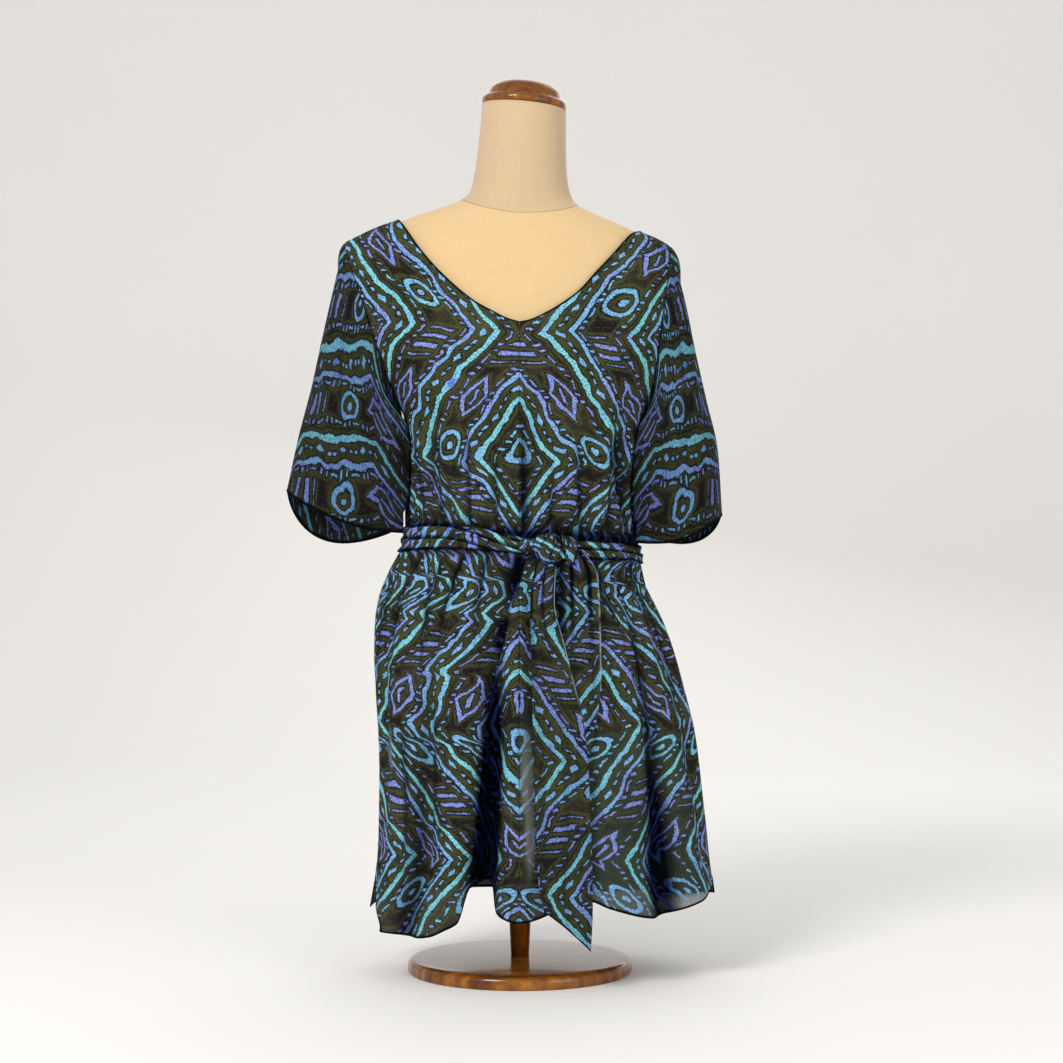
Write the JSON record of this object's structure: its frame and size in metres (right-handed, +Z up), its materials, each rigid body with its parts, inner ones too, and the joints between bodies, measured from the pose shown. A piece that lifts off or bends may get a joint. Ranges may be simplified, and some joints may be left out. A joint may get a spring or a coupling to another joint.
{
  "type": "short kaftan on a dress form",
  "caption": "Short sheer printed kaftan with a wide V neck, loose sleeves, side slits and a tied sash, worn by a limbless padded dress form on a round stand.",
  "frame": {"origin": "centre of the underside of the round stand", "axes": "+Z up, -Y is the garment's front, +X is to the right as seen from the front"},
  "size_m": [0.5446, 0.3214, 1.1106],
  "materials": {
    "varnished_wood": "glossy red-brown varnish",
    "form_cover": "fine cream linen jersey, stretched smooth",
    "printed_silk": "sheer matt silk, near black with an olive, blue and aqua print",
    "sash_silk": "the same sheer printed silk, doubled"
  },
  "bodies": {
    "root": {"stand_base": "varnished_wood", "stand_pole": "varnished_wood", "form_body": "form_cover", "form_cap": "varnished_wood", "front_left": "printed_silk", "front_right": "printed_silk", "back": "printed_silk", "sleeve_left": "printed_silk", "sleeve_right": "printed_silk", "sash_band": "sash_silk", "sash_knot": "sash_silk", "sash_long_end": "sash_silk", "sash_short_end": "sash_silk"}
  },
  "joints": []
}
